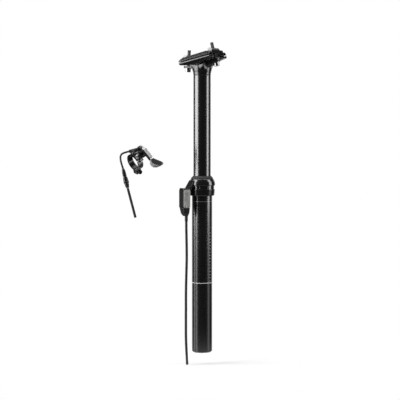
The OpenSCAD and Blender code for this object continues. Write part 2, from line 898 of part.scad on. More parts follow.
// Remote bracket: upper part of the bar clamp, pivot boss, cable stop and clamp ear
module band_arc(from, to) {
    rotate([0, 0, from])
        rotate_extrude(angle = to - from)
            translate([bar_r, -band_w / 2])
                square([band_t, band_w]);
}
module remote_bracket() color("#1c1c1d") {
    difference() {
        union() {
            at_remote() {
                band_arc(split_turn + 3, hinge_turn + 2);
                hull() {
                    translate([pivot_at[0], pivot_at[1], -band_w / 2])
                        cylinder(r = boss_r, h = boss_top + band_w / 2, $fn = 32);
                    translate([-4.4, bar_r + 2.4, -band_w / 2])
                        cylinder(r = 2.6, h = boss_top + band_w / 2, $fn = 32);
                }
                for (side = [-1, 1])
                    translate([hinge_at[0], hinge_at[1], side * (band_w / 2 - 1.575)])
                        cylinder(r = knuckle_r, h = 2.65, center = true);
                rotate([0, 0, split_turn])
                    block([ear_in, split_half, ear_step - band_w / 2],
                        [ear_out, ear_t + split_half, band_w / 2 - ear_step]);
            }
            hull() {
                translate(on_run(noodle_path[1]))
                    sphere(2.6, $fn = 24);
                translate(on_run(spout_root))
                    sphere(3.6, $fn = 24);
                at_remote()
                    translate([-8, bar_r + 4, -2])
                        sphere(3, $fn = 24);
            }
        }
        at_remote() {
            rod(bar_r, -band_w, band_w);
            translate([pivot_at[0], pivot_at[1], 0])
                rod(pivot_r + seat, -band_w, band_w);
            translate([pivot_at[0], pivot_at[1], 0])
                rod(8.5, boss_top + 0.05, band_w + 2);
            translate([hinge_at[0], hinge_at[1], 0])
                rod(hinge_pin_r + seat, -band_w, band_w);
            translate([hinge_at[0], hinge_at[1], 0])
                rod(knuckle_r + 1.2, -1.6, 1.6);
            rotate([0, 0, split_turn])
                translate([(ear_out + band_r) / 2, 0, 0])
                    cross_bar(clamp_bolt_r + seat, 4 * ear_t);
        }
        translate(on_run(noodle_path[0]))
            rotate([0, 90 + spout_dip, run_turn])
                cylinder(r = noodle_r + seat, h = 14);
    }
}

// Lower part of the bar clamp, with its knuckle and ear
module clamp_band() color("#8f9092") {
    at_remote()
        difference() {
            union() {
                band_arc(hinge_turn + 9, 360 + split_turn - 3);
                translate([hinge_at[0], hinge_at[1], 0])
                    cylinder(r = knuckle_r, h = 2.8, center = true);
                block([-16.6, -1, -1.4], [-12.6, hinge_at[1], 1.4]);
                rotate([0, 0, split_turn])
                    block([ear_in, -ear_t - split_half, -band_w / 2], [ear_out, -split_half, band_w / 2]);
            }
            rod(bar_r, -band_w, band_w);
            translate([hinge_at[0], hinge_at[1], 0])
                rod(hinge_pin_r + seat, -band_w, band_w);
            rotate([0, 0, split_turn])
                translate([(ear_out + band_r) / 2, 0, 0])
                    cross_bar(clamp_bolt_r + seat, 4 * ear_t);
        }
}
module clamp_hinge_pin() color("#77787a") {
    at_remote()
        translate([hinge_at[0], hinge_at[1], 0])
            rod(hinge_pin_r, -band_w / 2, band_w / 2);
}
module clamp_bolt() color("#2c2c2d") {
    at_remote()
        rotate([0, 0, split_turn])
            translate([(ear_out + band_r) / 2, 0, 0])
                rotate([90, 0, 0])
                    difference() {
                        union() {
                            rod(clamp_bolt_r, -ear_t - split_half, ear_t + split_half);
                            rod(clamp_head_r, ear_t + split_half, ear_t + 4);
                        }
                        translate([0, 0, ear_t + 1.8])
                            cylinder(r = 1.7, h = 4, $fn = 6);
                    }
}

// Lever pivot
module pivot_bolt() color("#cfd0d2") {
    at_remote()
        translate([pivot_at[0], pivot_at[1], 0])
            difference() {
                union() {
                    rod(pivot_r, -band_w / 2, lever_z + lever_t + 2.6);
                    rod(3.7, -band_w / 2 - 2.5, -band_w / 2);
                }
                translate([0, 0, -band_w / 2 - 3])
                    cylinder(r = 1.7, h = 2.2, $fn = 6);
            }
}
module pivot_nut() color("#8f9092") {
    at_remote()
        translate([pivot_at[0], pivot_at[1], lever_z + lever_t + 0.3])
            difference() {
                cylinder(r = 4.6, h = 2.2, $fn = 6);
                rod(pivot_r + seat, -1, 4);
            }
}
module lever_spring() color("#a5a6a8") {
    at_remote()
        translate([pivot_at[0], pivot_at[1], 0])
            pipe(4.6, pivot_r + 0.4, boss_top, boss_top + 3.6);
}

// Lever: hub, cable horn and bent arm
module lever_link(a, ra, b, rb) {
    hull() {
        translate([a[0], a[1], lever_z + 0.6])
            cylinder(r = ra, h = lever_t - 1.2, $fn = 32);
        translate([b[0], b[1], lever_z + 0.6])
            cylinder(r = rb, h = lever_t - 1.2, $fn = 32);
    }
}
module lever_arm() color("#c9cacc") {
    at_remote()
        difference() {
            union() {
                translate([pivot_at[0], pivot_at[1], 0])
                    rod(boss_r, lever_z, lever_z + lever_t);
                lever_link(pivot_at, 5.6, lever_top_at, 3.4);
                lever_link(lever_top_at, 3.4, lever_bend_at, 3.2);
                lever_link(lever_bend_at, 3.2, lever_end_at, lever_end_r);
            }
            translate([pivot_at[0], pivot_at[1], 0]) {
                rod(pivot_r + run, 0, 12);
                rod(4.95, 0, boss_top + 4);
            }
            translate([lever_top_at[0], lever_top_at[1], 0])
                rod(1.6 + seat, 0, 12);
        }
}

// Thumb pad on the lever's end: a dished tongue, wider along the bar
pad_edge = [[0, 0.6], [0, 6.4], [2.4, 7.2], [6.4, 9.4], [10.3, 11.2], [13.6, 12], [15.6, 10.6], [16.8, 7.4],
    [16.9, 4], [15, 0], [11, -2.6], [6.6, -3.2], [3, -2.4]];
pad_rim = 1;
module pad_slab(edge_r, low, high) {
    rotate([90, 0, 0])
        for (spot = pad_edge)
            translate([spot[0], spot[1], low])
                cylinder(r = edge_r, h = high - low, $fn = 24);
}
module thumb_pad() color("#171718") {
    at_remote()
        translate([lever_end_at[0], lever_end_at[1], 0])
            rotate([0, 0, pad_turn])
                translate([lever_end_r + pad_rim + seat, 0, 0])
                    hull() {
                        pad_slab(pad_rim, -2, 1.2);
                        pad_slab(0.4, -2, 2);
                    }
}
module cable_anchor() color("#b9babc") {
    at_remote()
        translate([lever_top_at[0], lever_top_at[1], 0]) {
            rod(1.6, lever_z - 3.2, lever_z + lever_t);
            rod(2.7, lever_z - 3.2, lever_z + 0.4);
        }
}

// Bent cable guide
module noodle_tube() color("#1a1a1b") {
    swept_tube([for (p = noodle_path) on_run(p)], [-sin(run_turn), cos(run_turn), 0], noodle_r, 10);
}

// In-line adjuster: rubber sleeve, threaded core, fluted knob and ferrule, along its own axis
knob_z = sleeve_l + 0.4;
tail_z = knob_z + knob_l + 0.4;
module adjuster_sleeve() color("#1f1f20") {
    at_adjuster()
        rotate_extrude()
            polygon([
                [0, 0], [noodle_r + 0.5, 0], [noodle_r + 0.9, 1.2], [2.9, 5], [3.1, sleeve_l - 1],
                [2.8, sleeve_l], [0, sleeve_l]]);
}
module adjuster_core() color("#8f9092") {
    at_adjuster()
        rod(core_r, sleeve_l, tail_z);
}
module adjuster_knob() color("#29292a") {
    at_adjuster()
        difference() {
            rotate_extrude()
                polygon([
                    [core_r + run, knob_z], [3.1, knob_z], [3.4, knob_z + 1], [4.2, knob_z + knob_l - 3],
                    [4.2, knob_z + knob_l - 1], [3.6, knob_z + knob_l], [core_r + run, knob_z + knob_l]]);
            for (turn = [0:36:324])
                rotate([0, 0, turn])
                    translate([4.6, 0, knob_z + 2])
                        cylinder(r = 0.7, h = knob_l, $fn = 24);
        }
}
module adjuster_ferrule() color("#232324") {
    at_adjuster()
        rotate_extrude()
            polygon([
                [0, tail_z], [3.6, tail_z], [3.4, tail_z + 1.5], [2.5, tail_z + tail_l],
                [0, tail_z + tail_l]]);
}

// Lower stub of cable housing
module remote_cable() color("#141415") {
    swept_tube([for (p = stub_path) on_run(p)], [-sin(run_turn), cos(run_turn), 0], stub_r, 10);
}

lower_tube();
foot_cap();
foot_nut();
collar_sleeve();
collar_ring();
collar_cap();
wiper_seal();
upper_bushing();
actuator_housing();
actuator_cover();
actuator_screws();
actuator_boot();
rocker_pin();
rocker_spring();
cable_ferrule();
actuator_cable();
piston_rod();
piston();
piston_seal();
stanchion();
seat_head();
cartridge_tube();
cartridge_cap();
rod_gland();
lower_bushing();
guide_keys();
floating_piston();
front_bolt();
rear_bolt();
front_washer();
rear_washer();
lower_cradle();
upper_clamp();
front_nut();
rear_nut();
release_rocker();
release_strip();
valve_ring();
remote_bracket();
clamp_band();
clamp_hinge_pin();
clamp_bolt();
pivot_bolt();
pivot_nut();
lever_spring();
lever_arm();
thumb_pad();
cable_anchor();
noodle_tube();
adjuster_sleeve();
adjuster_core();
adjuster_knob();
adjuster_ferrule();
remote_cable();
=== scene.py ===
import json
import math

import bmesh
import bpy
import numpy as np
from mathutils import Matrix, Vector


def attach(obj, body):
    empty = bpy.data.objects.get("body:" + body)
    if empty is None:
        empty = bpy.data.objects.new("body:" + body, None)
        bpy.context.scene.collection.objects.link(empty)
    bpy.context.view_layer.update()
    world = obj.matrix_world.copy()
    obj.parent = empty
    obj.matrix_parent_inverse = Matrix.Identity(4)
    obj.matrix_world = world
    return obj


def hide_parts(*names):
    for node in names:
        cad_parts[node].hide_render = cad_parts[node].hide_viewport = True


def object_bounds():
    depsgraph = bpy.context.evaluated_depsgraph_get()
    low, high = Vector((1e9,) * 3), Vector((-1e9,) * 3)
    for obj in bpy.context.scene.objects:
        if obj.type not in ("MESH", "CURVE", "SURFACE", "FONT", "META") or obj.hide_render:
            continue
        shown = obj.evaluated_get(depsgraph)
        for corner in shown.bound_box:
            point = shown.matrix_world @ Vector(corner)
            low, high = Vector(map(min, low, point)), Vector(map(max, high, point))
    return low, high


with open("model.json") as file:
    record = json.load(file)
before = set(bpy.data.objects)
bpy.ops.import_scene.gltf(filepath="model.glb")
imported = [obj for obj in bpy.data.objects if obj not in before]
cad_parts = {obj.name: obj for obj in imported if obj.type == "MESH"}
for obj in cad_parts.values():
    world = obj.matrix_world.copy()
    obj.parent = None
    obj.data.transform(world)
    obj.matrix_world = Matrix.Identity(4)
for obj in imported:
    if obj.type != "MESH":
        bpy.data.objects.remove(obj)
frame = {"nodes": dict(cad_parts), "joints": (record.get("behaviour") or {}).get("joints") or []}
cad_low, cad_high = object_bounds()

# Outer tube: the part that the bicycle's seat tube holds. It is drawn from aluminium, anodised gloss black
# and printed with a white ring that marks the least insertion, a fine ring under the collar and a row of
# height ticks up its back.
GLOSS_BLACK = (0.0045, 0.0046, 0.0050)
GLOSS_WORN = (0.010, 0.010, 0.011)
PRINT_WHITE = (0.60, 0.60, 0.59)
PRINT_GREY = (0.26, 0.26, 0.26)
LEAST_RING_Z = -0.1355
LEAST_RING_WIDTH = 0.0011
TOP_RING_Z = -0.0088
TOP_RING_WIDTH = 0.0005
TICK_TURN = math.radians(172)
TICK_HALF_TURN = math.radians(9)
TICK_LOW = -0.1330
TICK_HIGH = -0.0550
TICK_PITCH = 0.005
TICK_WIDTH = 0.0007


def operator(operation, reflected=False):
    def apply(wire, other=None):
        terms = (other, wire) if reflected else (wire, other)
        return wire.tree.node("ShaderNodeMath", {"operation": operation}, dict(enumerate(terms)))
    return apply


class Wire:
    """One output of a node, which takes part in plain arithmetic."""

    def __init__(self, tree, node, out):
        self.tree, self.node, self.out = tree, node, out

    __add__, __radd__ = operator("ADD"), operator("ADD", reflected=True)
    __sub__, __rsub__ = operator("SUBTRACT"), operator("SUBTRACT", reflected=True)
    __mul__, __rmul__ = operator("MULTIPLY"), operator("MULTIPLY", reflected=True)
    __truediv__, __rtruediv__ = operator("DIVIDE"), operator("DIVIDE", reflected=True)
    __pow__, __rpow__ = operator("POWER"), operator("POWER", reflected=True)
    __mod__, __rmod__ = operator("FLOORED_MODULO"), operator("FLOORED_MODULO", reflected=True)
    __lt__, __gt__ = operator("LESS_THAN"), operator("GREATER_THAN")
    __abs__ = operator("ABSOLUTE")
    turn_from = operator("ARCTAN2")
    or_more = operator("MAXIMUM")


class Tree:
    """The nodes of one material or of the studio's world."""

    def __init__(self, tree):
        self.tree = tree
        self.tree.nodes.clear()

    def put(self, socket, value):
        if isinstance(value, Wire):
            self.tree.links.new(value.node.outputs[value.out], socket)
        elif value is not None:
            socket.default_value = value

    def node(self, kind, settings=None, sockets=None, out=0):
        node = self.tree.nodes.new(kind)
        for name, value in (settings or {}).items():
            setattr(node, name, value)
        for name, value in (sockets or {}).items():
            self.put(node.inputs[name], value)
        return Wire(self, node, out)

    def vectors(self, operation, first, second, out="Value"):
        return self.node("ShaderNodeVectorMath", {"operation": operation}, {0: first, 1: second}, out)

    def colours(self, factor, first, second):
        first, second = (value if isinstance(value, Wire) else (*value, 1) for value in (first, second))
        return self.node("ShaderNodeMix", {"data_type": "RGBA"}, {0: factor, 6: first, 7: second}, out=2)

    def smooth(self, value, start, end, first=0.0, last=1.0):
        return self.node("ShaderNodeMapRange", {"interpolation_type": "SMOOTHSTEP"}, {
            "Value": value, "From Min": start, "From Max": end, "To Min": first, "To Max": last})


class Finish(Tree):
    """One material of the object, with its wear and grain."""

    def __init__(self, name):
        self.material = bpy.data.materials.new(name)
        self.material.use_nodes = True
        super().__init__(self.material.node_tree)
        self.shader = self.node("ShaderNodeBsdfPrincipled")
        self.output = self.node("ShaderNodeOutputMaterial", sockets={"Surface": self.shader})

    def set(self, **values):
        for name, value in values.items():
            self.put(self.shader.node.inputs[name.replace("_", " ")], value)
        return self

    def place(self):
        return self.node("ShaderNodeTexCoord", out="Object")

    def facing(self):
        return self.node("ShaderNodeNewGeometry", out="Normal")

    def rounded(self, radius):
        return self.node("ShaderNodeBevel", {"samples": 6}, {"Radius": radius})

    def axes(self, point):
        split = self.node("ShaderNodeSeparateXYZ", sockets={"Vector": point})
        return [Wire(self, split.node, axis) for axis in "XYZ"]

    def stretched(self, scale):
        return self.node("ShaderNodeMapping", sockets={"Vector": self.place(), "Scale": scale})

    def noise(self, scale, detail=3, point=None):
        return self.node("ShaderNodeTexNoise", sockets={
            "Vector": point or self.place(), "Scale": scale, "Detail": detail, "Roughness": 0.55})

    def bump(self, height, depth, strength=1.0, edge=0.0005):
        relief = {"Height": height, "Distance": depth, "Strength": strength}
        if edge:
            relief["Normal"] = self.rounded(edge)
        return self.set(Normal=self.node("ShaderNodeBump", sockets=relief))

    def edges(self, reach, gain=3.0):
        return gain * (1 - self.vectors("DOT_PRODUCT", self.rounded(reach), self.facing()))


def dress(finish, *names):
    for name in names:
        mesh = frame["nodes"][name].data
        mesh.materials.clear()
        mesh.materials.append(finish.material)


def drawn_black(name):
    finish = Finish(name)
    along = finish.noise(scale=700, detail=2, point=finish.stretched((1, 1, 0.015)))
    cloud = finish.noise(scale=25, detail=0)
    finish.set(Roughness=0.19 + 0.04 * cloud + 0.04 * along, IOR=2.0)
    finish.bump(along, depth=0.00001, strength=0.04, edge=0)
    return finish, finish.colours(cloud * along, GLOSS_BLACK, GLOSS_WORN)


tube_black, tube_colour = drawn_black("outer_tube_black")
tube_x, tube_y, tube_z = tube_black.axes(tube_black.place())
least_ring = abs(tube_z - LEAST_RING_Z) < LEAST_RING_WIDTH / 2
top_ring = abs(tube_z - TOP_RING_Z) < TOP_RING_WIDTH / 2
tick_column = abs(tube_y.turn_from(tube_x) - TICK_TURN) < TICK_HALF_TURN
tick_span = (tube_z > TICK_LOW) * (tube_z < TICK_HIGH)
ticks = tick_column * tick_span * (abs(tube_z / TICK_PITCH % 1 - 0.5) < TICK_WIDTH / TICK_PITCH / 2)
tube_colour = tube_black.colours(least_ring, tube_colour, PRINT_WHITE)
tube_colour = tube_black.colours(top_ring, tube_colour, PRINT_GREY)
tube_black.set(Base_Color=tube_black.colours(ticks, tube_colour, PRINT_GREY))
dress(tube_black, "lower_tube")

# Foot: a turned aluminium cup, anodised black like the tube and screwed into its lower end. A plated steel
# nut inside it holds the cartridge's rod.
NUT_STEEL = (0.42, 0.42, 0.43)
NUT_STAINED = (0.30, 0.29, 0.28)
foot_black, foot_colour = drawn_black("foot_black")
dress(foot_black.set(Base_Color=foot_colour), "foot_cap")
nut_steel = Finish("nut_steel")
nut_steel.set(
    Base_Color=nut_steel.colours(nut_steel.noise(scale=300), NUT_STEEL, NUT_STAINED),
    Metallic=1.0,
    Roughness=0.28 + 0.20 * nut_steel.noise(scale=900))
dress(nut_steel, "foot_nut")

# Collar: sleeve, lock ring and seal head, turned from aluminium, anodised satin black and screwed on to the
# tube's upper end. The seal head's cast arm carries the actuator; inside it sit a moulded rubber wiper and a
# bearing of filled plastic.
SATIN_BLACK = (0.0055, 0.0055, 0.006)
SATIN_WORN = (0.012, 0.012, 0.0125)
SATIN_EDGE = (0.16, 0.16, 0.165)
RUBBER_BLACK = (0.011, 0.011, 0.012)
RUBBER_DUSTY = (0.045, 0.044, 0.042)
BEARING_GREEN = (0.12, 0.13, 0.10)
BEARING_DARK = (0.05, 0.055, 0.045)


def satin_black(name, rough, ior, edge=0.0005):
    finish = Finish(name)
    grain = finish.noise(scale=2600, detail=2)
    body = finish.colours(finish.noise(scale=120), SATIN_BLACK, SATIN_WORN)
    # Edges are painted paler in patches: partly wear through the anodising, partly a painted highlight along
    # the edges.
    wear_and_edge_sheen = finish.edges(reach=0.0006) * finish.noise(scale=350)
    finish.set(
        Base_Color=finish.colours(wear_and_edge_sheen, body, SATIN_EDGE),
        Roughness=rough + 0.10 * grain,
        IOR=ior)
    return finish.bump(grain, depth=0.00001, strength=0.15, edge=edge)


dress(satin_black("collar_black", rough=0.12, ior=1.8), "collar_sleeve", "collar_ring", "collar_cap")
rubber = Finish("rubber_black")
rubber.set(
    Base_Color=rubber.colours(rubber.noise(scale=260), RUBBER_BLACK, RUBBER_DUSTY),
    Roughness=0.55 + 0.25 * rubber.noise(scale=800))
rubber.bump(rubber.noise(scale=3000, detail=2), depth=0.00004)
dress(rubber, "wiper_seal")
bearing = Finish("bearing_plastic")
bearing.set(
    Base_Color=bearing.colours(bearing.noise(scale=900), BEARING_GREEN, BEARING_DARK),
    Roughness=0.40 + 0.20 * bearing.noise(scale=1500))
dress(bearing, "upper_bushing")

# Actuator: a moulded box under the collar's arm with a tapered lower end. Its side cover, held by two small
# steel screws, is coloured pale grey as a painted reflection; the rocker's steel pin and spring stand inside.
PLASTIC_BLACK = (0.009, 0.009, 0.010)
PLASTIC_WORN = (0.018, 0.018, 0.019)
PLASTIC_EDGE = (0.10, 0.10, 0.10)
COVER_REFLECTION_GREY = (0.40, 0.41, 0.38)
COVER_SHADE = (0.29, 0.30, 0.28)
BRIGHT_STEEL = (0.62, 0.62, 0.63)
BRIGHT_STAINED = (0.48, 0.47, 0.46)


def moulded_black(name, rough, edge):
    finish = Finish(name)
    grain = finish.noise(scale=3200, detail=2)
    body = finish.colours(finish.noise(scale=150), PLASTIC_BLACK, PLASTIC_WORN)
    # Edges are painted paler in patches: partly rubbing wear, partly a painted highlight along the edges.
    rubbing_and_edge_sheen = finish.edges(reach=edge, gain=1.6) * finish.noise(scale=300)
    finish.set(
        Base_Color=finish.colours(rubbing_and_edge_sheen, body, PLASTIC_EDGE),
        Roughness=rough + 0.12 * grain,
        IOR=1.45)
    return finish.bump(grain, depth=0.00002, strength=0.2, edge=edge)


def bright_metal(name, clean, stained, rough):
    finish = Finish(name)
    finish.set(
        Base_Color=finish.colours(finish.noise(scale=500), clean, stained),
        Metallic=1.0,
        Roughness=rough + 0.16 * finish.noise(scale=1400))
    return finish.bump(finish.noise(scale=2500, detail=2), depth=0.00001, strength=0.10)


dress(moulded_black("actuator_black", rough=0.17, edge=0.0011), "actuator_housing")
dress(moulded_black("boot_black", rough=0.24, edge=0.0008), "actuator_boot")
# The side cover's pale grey is a painted reflection, streaked faintly up and down.
cover = Finish("cover_reflection_grey")
cover_streak = cover.noise(scale=1500, detail=2, point=cover.stretched((1, 1, 0.04)))
cover.set(
    Base_Color=cover.colours(cover_streak, COVER_REFLECTION_GREY, COVER_SHADE),
    Roughness=0.36 + 0.14 * cover.noise(scale=1200))
cover.bump(cover_streak, depth=0.00004, strength=0.6)
dress(cover, "actuator_cover")
bright_steel = bright_metal("bright_steel", BRIGHT_STEEL, BRIGHT_STAINED, rough=0.20)
dress(bright_steel, "actuator_screws", "rocker_pin", "rocker_spring")

# Actuator cable: cable housing, a steel winding in black plastic, that enters the actuator through a pressed
# end cap. It hangs straight down past the foot, where it is cut off square.
CABLE_DIAMETER = 0.004
CABLE_TURN = math.radians(60)
CABLE_OUT = 0.0282
CABLE_TOP = -0.0389
CABLE_STEP = 0.00972
CABLE_SWAY_MM = (0, 0, -0.2, -0.4, -0.6, -0.7, -0.7, -0.5, -0.2, 0.1, 0.4, 0.6, 0.7, 0.7, 0.7, 0.8, 0.8, 0.8,
                 0.8, 0.6, 0.2, -0.3, -0.9, -1.4)
MM = 0.001
HOUSING_BLACK = (0.012, 0.012, 0.013)
HOUSING_WORN = (0.030, 0.030, 0.031)
scene = bpy.context.scene


def add_object(name, data):
    piece = bpy.data.objects.new(name, data)
    scene.collection.objects.link(piece)
    return piece


def at_turn(turn, out, height):
    return Vector((out * math.cos(turn), out * math.sin(turn), height))


def cord_tube(name, points):
    curve = bpy.data.curves.new(name, "CURVE")
    curve.dimensions = "3D"
    curve.bevel_depth = CABLE_DIAMETER / 2
    curve.bevel_resolution = 6
    curve.resolution_u = 4
    curve.use_fill_caps = True
    spline = curve.splines.new("BEZIER")
    spline.bezier_points.add(len(points) - 1)
    for knot, point in zip(spline.bezier_points, points):
        knot.co = point
        knot.handle_left_type = knot.handle_right_type = "AUTO"
    route = bpy.data.objects.new(name + "_route", curve)
    tube = bpy.data.meshes.new_from_object(route)
    tube.set_sharp_from_angle(angle=math.radians(40))
    tube.materials.append(housing.material)
    bpy.data.objects.remove(route)
    return add_object(name, tube)


housing = Finish("cable_housing")
housing.set(
    Base_Color=housing.colours(housing.noise(scale=400), HOUSING_BLACK, HOUSING_WORN),
    Roughness=0.26 + 0.22 * housing.noise(scale=900),
    IOR=1.5)
housing.bump(housing.noise(scale=1200, point=housing.stretched((1, 1, 0.1))), depth=0.00002, strength=0.3)
dress(housing, "cable_ferrule")
cable_points = [at_turn(CABLE_TURN, CABLE_OUT + sway * MM, CABLE_TOP - CABLE_STEP * step)
                for step, sway in enumerate(CABLE_SWAY_MM)]
cable = cord_tube("actuator_cable_run", cable_points)
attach(cable, "lower")
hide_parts("actuator_cable")

# Cartridge: the sealed gas and oil spring inside the post. Its aluminium tube, ends and pistons are turned
# and screwed together, round a ground steel rod that stands on the foot.
CARTRIDGE_ALLOY = (0.50, 0.50, 0.52)
CARTRIDGE_STAINED = (0.40, 0.40, 0.42)
alloy = bright_metal("cartridge_alloy", CARTRIDGE_ALLOY, CARTRIDGE_STAINED, rough=0.30)
dress(alloy, "cartridge_tube", "cartridge_cap", "rod_gland", "piston", "floating_piston")
dress(bright_steel, "piston_rod")
dress(rubber, "piston_seal")

# Sliding post: a drawn and ground aluminium tube, hard anodised to a deep gloss black. A plastic bearing sits
# at its lower end, and three brass keys in its side run in the outer tube and stop it from turning.
BRASS = (0.62, 0.44, 0.18)
BRASS_DULL = (0.44, 0.30, 0.12)
post_black, post_colour = drawn_black("post_black")
dress(post_black.set(Base_Color=post_colour), "stanchion")
dress(bearing, "lower_bushing")
brass = bright_metal("brass", BRASS, BRASS_DULL, rough=0.28)
dress(brass, "guide_keys")

# Head: forged and machined aluminium, pressed on to the sliding post and anodised satin black. Its broad
# edges are blended, so they shade softer than those of the turned pieces.
dress(satin_black("head_black", rough=0.12, ior=1.7, edge=0.0035), "seat_head")

# Saddle clamp: a machined cradle and upper plate that hold the saddle's rails between them, anodised like the
# head. Their outer flanks stand upright in a thin band at the parting line and are drawn in from there.
RAIL_TILT = math.radians(12)
JAW_OUTER = 0.0259
UPPER_FLANK = dict(side=1, band=0.0009, slope=0.72)
LOWER_FLANK = dict(side=-1, band=0.0027, slope=0.80)
joints = {joint["name"]: joint for joint in frame["joints"]}
rail_centre = Vector(joints["saddle_tilt"]["pos_m"])
to_rails = Matrix.Rotation(-RAIL_TILT, 4, "Y") @ Matrix.Translation(-rail_centre)


def drawn_in(name, side, band, slope):
    mesh = frame["nodes"][name].data.copy()
    shape = bmesh.new()
    shape.from_mesh(mesh)
    shape.transform(to_rails)
    bmesh.ops.bisect_plane(shape, geom=shape.verts[:] + shape.edges[:] + shape.faces[:],
                           plane_co=(0, 0, side * band), plane_no=(0, 0, 1))
    for corner in shape.verts:
        past = corner.co.z * side - band
        if abs(corner.co.y) > JAW_OUTER and past > 0:
            corner.co.y -= math.copysign(slope * past, corner.co.y)
    shape.transform(to_rails.inverted())
    shape.to_mesh(mesh)
    shape.free()
    return mesh


def stand_in(name, body, mesh, finish, sharp_degrees):
    if "custom_normal" in mesh.attributes:
        mesh.attributes.remove(mesh.attributes["custom_normal"])
    mesh.set_sharp_from_angle(angle=math.radians(sharp_degrees))
    mesh.materials.clear()
    mesh.materials.append(finish.material)
    piece = add_object(name + "_dressed", mesh)
    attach(piece, body)
    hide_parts(name)


cradle_black = satin_black("cradle_black", rough=0.12, ior=1.7)
stand_in("upper_clamp", "clamp", drawn_in("upper_clamp", **UPPER_FLANK), cradle_black, sharp_degrees=30)
stand_in("lower_cradle", "clamp", drawn_in("lower_cradle", **LOWER_FLANK), cradle_black, sharp_degrees=30)

# Saddle bolts: two rolled steel socket screws that draw the clamp together. They lean in round-seated washers
# under the head's ears and pull on turned barrel nuts in the upper plate.
BOLT_THREAD_R = 0.0026
BOLT_PITCH = 0.0008
BOLT_STEEL = (0.46, 0.46, 0.47)
BOLT_STAINED = (0.34, 0.34, 0.34)
THREAD_DARK = (0.10, 0.10, 0.10)
BARREL_STEEL = (0.26, 0.26, 0.265)
BARREL_STAINED = (0.18, 0.18, 0.18)


def threaded_steel(name, nut_joint, seat_joint):
    nut = Vector(joints[nut_joint]["pos_m"])
    shank_way = nut - Vector(joints[seat_joint]["pos_m"])
    finish = Finish(name)
    x, y, z = finish.axes(finish.node("ShaderNodeMapping", {"vector_type": "TEXTURE"}, {
        "Vector": finish.place(), "Location": nut, "Rotation": (0, math.atan2(shank_way.x, shank_way.z), 0)}))
    shank = (x * x + y * y) < BOLT_THREAD_R ** 2
    thread = abs((z / BOLT_PITCH + y.turn_from(x) / math.tau) % 1 - 0.5)
    plain = finish.colours(finish.noise(scale=500), BOLT_STEEL, BOLT_STAINED)
    finish.set(
        Base_Color=finish.colours(shank, plain, THREAD_DARK),
        Metallic=1.0,
        Roughness=0.24 + 0.16 * finish.noise(scale=1400))
    return finish.bump(shank * thread, depth=0.0007, strength=0.9, edge=0.0002)


for end in ("front", "rear"):
    dress(threaded_steel(end + "_bolt_steel", end + "_nut_turn", end + "_bolt_lean"), end + "_bolt")
dress(bright_steel, "front_washer", "rear_washer")
barrel_steel = bright_metal("barrel_steel", BARREL_STEEL, BARREL_STAINED, rough=0.28)
dress(barrel_steel, "front_nut", "rear_nut")

# Release: a stamped steel rocker on its pin in the actuator, and the thin steel strip and brass ring by which
# it opens the valve at the foot.
ROCKER_STEEL = (0.40, 0.40, 0.41)
ROCKER_STAINED = (0.30, 0.30, 0.30)
dress(bright_metal("rocker_steel", ROCKER_STEEL, ROCKER_STAINED, rough=0.30), "release_rocker")
dress(bright_steel, "release_strip")
dress(brass, "valve_ring")

# Remote: a machined bracket, anodised black, with a hinged aluminium band that a bolt draws round the
# handlebar. The lever's polished pivot bolt, its nut and its spring are steel.
BAND_GREY = (0.32, 0.32, 0.325)
BAND_STAINED = (0.24, 0.24, 0.24)
POLISHED = (0.74, 0.74, 0.75)
POLISHED_DULL = (0.66, 0.66, 0.66)
remote_black = satin_black("remote_black", rough=0.13, ior=1.5)
dress(remote_black, "remote_bracket", "clamp_bolt")
dress(bright_metal("band_grey", BAND_GREY, BAND_STAINED, rough=0.30), "clamp_band")
dress(bright_metal("polished", POLISHED, POLISHED_DULL, rough=0.24), "pivot_bolt")
dress(bright_steel, "clamp_hinge_pin", "lever_spring", "pivot_nut")

# Lever: a forged aluminium arm on the pivot bolt, anodised black. Between the pivot's eye and the thumb pad
# its edge faces are bright metal, partly machined and partly a painted highlight. A black anchor screwed into
# it holds the cable.
LEVER_EYE_R = 0.0145
LEVER_FACE = 0.70
LEVER_BRIGHT = (0.66, 0.66, 0.67)
LEVER_DULL = (0.56, 0.56, 0.56)
pivot = joints["lever_swing"]
lever = Finish("lever_machined_and_highlight")
lever_face = abs(lever.vectors("DOT_PRODUCT", lever.facing(), pivot["axis"])) < LEVER_FACE
# The edge faces past the pivot's eye are bright metal: partly machined, partly a painted highlight.
lever_machined_and_lit = lever_face * (lever.vectors("DISTANCE", lever.place(), pivot["pos_m"]) > LEVER_EYE_R)
lever_mark = lever.noise(scale=500)
lever.set(
    Base_Color=lever.colours(
        lever_machined_and_lit,
        lever.colours(lever_mark, SATIN_BLACK, SATIN_WORN),
        lever.colours(lever_mark, LEVER_BRIGHT, LEVER_DULL)),
    Metallic=lever_machined_and_lit,
    Roughness=0.20 + 0.14 * lever_machined_and_lit + 0.08 * lever.noise(scale=1400))
lever.bump(lever.noise(scale=2500, detail=2), depth=0.00001, strength=0.10)
dress(lever, "lever_arm")
dress(remote_black, "cable_anchor")

